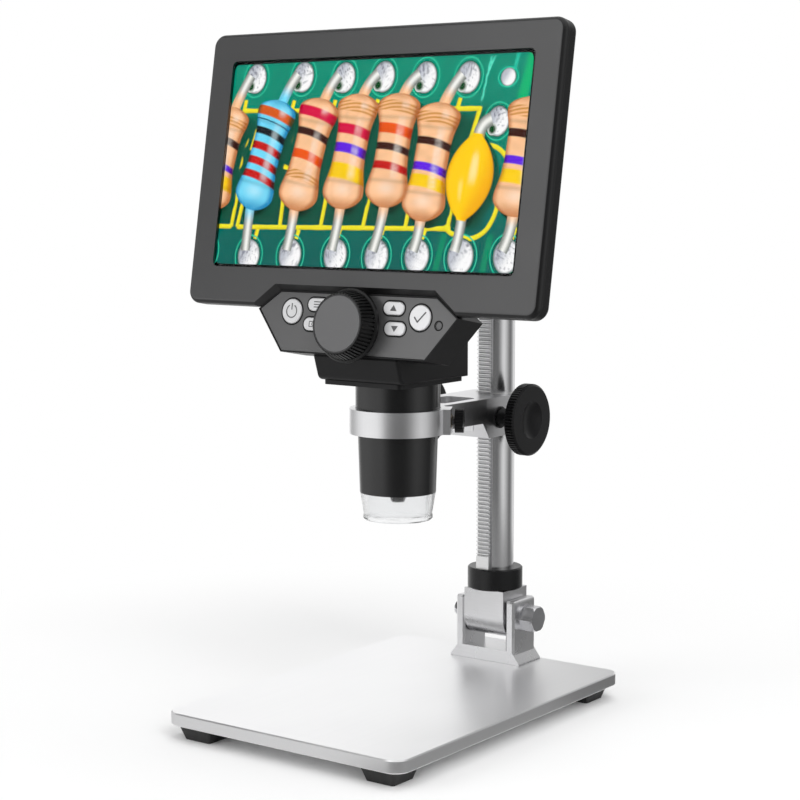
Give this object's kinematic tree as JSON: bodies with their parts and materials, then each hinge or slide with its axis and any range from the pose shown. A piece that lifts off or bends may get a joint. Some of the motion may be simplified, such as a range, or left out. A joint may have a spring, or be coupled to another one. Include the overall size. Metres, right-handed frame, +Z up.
{
  "type": "lcd digital microscope",
  "caption": "Digital microscope with its own flat display, hung from a rack-and-pinion arm on a tilting column over a flat aluminium base plate.",
  "frame": {"origin": "centre of the overall box on the table, to within a millimetre, under the middle of the base plate", "axes": "+Z up, +Y from the operator back to the column, +X to the operator's right; X = 0 is the plane of symmetry of the stand and the display"},
  "size_m": [0.1808, 0.1714, 0.2959],
  "materials": {
    "satin_aluminium": "satin, drawn or brushed",
    "machined_rack": "as machined",
    "black_rubber": "moulded",
    "zinc_steel": "zinc plated",
    "polished_steel": "bright nickel",
    "black_anodised": "black anodised",
    "black_plastic": "satin black",
    "acetal": "plain",
    "brass_bush": "turned",
    "dark_steel": "oil-blacked",
    "grey_bezel": "fine satin grey",
    "screen_glass": "polished",
    "lcd_module": "gloss",
    "fascia_grey": "gloss",
    "key_silver": "painted silver",
    "clear_plastic": "clear moulded",
    "lens_glass": "polished",
    "circuit_board": "solder mask",
    "lamp_white": "lamp",
    "battery_wrap": "foil"
  },
  "bodies": {
    "stand": {"base_plate": "satin_aluminium", "foot_front_left": "black_rubber", "foot_front_right": "black_rubber", "foot_rear_left": "black_rubber", "foot_rear_right": "black_rubber", "foot_screws": "zinc_steel", "clevis_bracket": "satin_aluminium", "clevis_screws": "zinc_steel", "pivot_bolt": "polished_steel", "pivot_nut": "polished_steel", "pivot_washers": "polished_steel"},
    "post": {"tilt_knuckle": "satin_aluminium", "column_tube": "satin_aluminium", "column_rack": "machined_rack", "column_collar": "black_anodised", "collar_screw": "zinc_steel", "column_cap": "black_plastic"},
    "carriage": {"arm_carriage": "satin_aluminium", "column_liner": "acetal", "tension_screw": "zinc_steel", "pinion_bushes": "dark_steel", "clamp_insert": "brass_bush"},
    "pinion": {"pinion_shaft": "zinc_steel", "knob_left": "black_plastic", "knob_right": "black_plastic"},
    "clamp_screw": {"clamp_screw": "black_anodised"},
    "head": {"display_bezel": "grey_bezel", "screen_window": "screen_glass", "lcd_panel": "lcd_module", "rear_cover": "black_plastic", "cover_screws": "zinc_steel", "keypad_housing": "black_plastic", "keypad_fascia": "fascia_grey", "indicator_lens": "clear_plastic", "neck_housing": "black_plastic", "neck_plate": "black_plastic", "housing_screws": "zinc_steel", "barrel_sleeve": "black_plastic", "tip_hood": "clear_plastic", "led_board": "circuit_board", "led_lamps": "lamp_white", "lens_nose": "black_plastic", "focus_bush": "brass_bush", "keypad_board": "circuit_board", "mainboard": "circuit_board", "battery_pack": "battery_wrap", "usb_socket": "polished_steel", "card_socket": "polished_steel"},
    "focus_drive": {"focus_knob": "black_plastic", "focus_shaft": "zinc_steel"},
    "lens": {"lens_carrier": "black_plastic", "objective_lens": "lens_glass", "sensor_board": "circuit_board"},
    "power_button": {"power_button": "key_silver"},
    "ok_button": {"ok_button": "key_silver"},
    "menu_button": {"menu_button": "key_silver"},
    "mode_button": {"mode_button": "key_silver"},
    "up_button": {"up_button": "key_silver"},
    "down_button": {"down_button": "key_silver"}
  },
  "joints": [
    {"name": "stand_tilt", "type": "hinge", "parent": "stand", "child": "post", "pos_m": [0, 0.0742, 0.0328], "axis": [1, 0, 0], "range_deg": [-90, 35]},
    {"name": "carriage_slide", "type": "slide", "parent": "post", "child": "carriage", "axis": [0, 0, 1], "range_m": [-0.06, 0.118]},
    {"name": "pinion_turn", "type": "hinge", "parent": "carriage", "child": "pinion", "pos_m": [0, 0.0566, 0.1272], "axis": [1, 0, 0], "range_deg": [-985, 500]},
    {"name": "clamp_screw_turn", "type": "hinge", "parent": "carriage", "child": "clamp_screw", "pos_m": [0, -0.0026, 0.131], "axis": [0.866, 0.5, 0], "range_deg": [0, 360]},
    {"name": "head_swivel", "type": "hinge", "parent": "carriage", "child": "head", "pos_m": [0, -0.0026, 0.131], "axis": [0, 0, 1], "range_deg": [-75, 75]},
    {"name": "focus_turn", "type": "hinge", "parent": "head", "child": "focus_drive", "pos_m": [0, -0.03688, 0.17348], "axis": [0, -0.9854, 0.17], "range_deg": [-84, 84]},
    {"name": "lens_slide", "type": "slide", "parent": "head", "child": "lens", "axis": [0, 0, 1], "range_m": [-0.0059, 0.0059]},
    {"name": "power_button_press", "type": "slide", "parent": "head", "child": "power_button", "axis": [0, 0.9854, -0.17], "range_m": [0, 0.0005], "stiffness_N_per_m": 200, "springref_m": -0.0005},
    {"name": "ok_button_press", "type": "slide", "parent": "head", "child": "ok_button", "axis": [0, 0.9854, -0.17], "range_m": [0, 0.0005], "stiffness_N_per_m": 200, "springref_m": -0.0005},
    {"name": "menu_button_press", "type": "slide", "parent": "head", "child": "menu_button", "axis": [0, 0.9854, -0.17], "range_m": [0, 0.0005], "stiffness_N_per_m": 200, "springref_m": -0.0005},
    {"name": "mode_button_press", "type": "slide", "parent": "head", "child": "mode_button", "axis": [0, 0.9854, -0.17], "range_m": [0, 0.0005], "stiffness_N_per_m": 200, "springref_m": -0.0005},
    {"name": "up_button_press", "type": "slide", "parent": "head", "child": "up_button", "axis": [0, 0.9854, -0.17], "range_m": [0, 0.0005], "stiffness_N_per_m": 200, "springref_m": -0.0005},
    {"name": "down_button_press", "type": "slide", "parent": "head", "child": "down_button", "axis": [0, 0.9854, -0.17], "range_m": [0, 0.0005], "stiffness_N_per_m": 200, "springref_m": -0.0005}
  ],
  "couplings": [
    {"joint": "pinion_turn", "follows": "carriage_slide", "rad_per_m": -144.93},
    {"joint": "focus_turn", "follows": "lens_slide", "rad_per_m": 246.36}
  ]
}
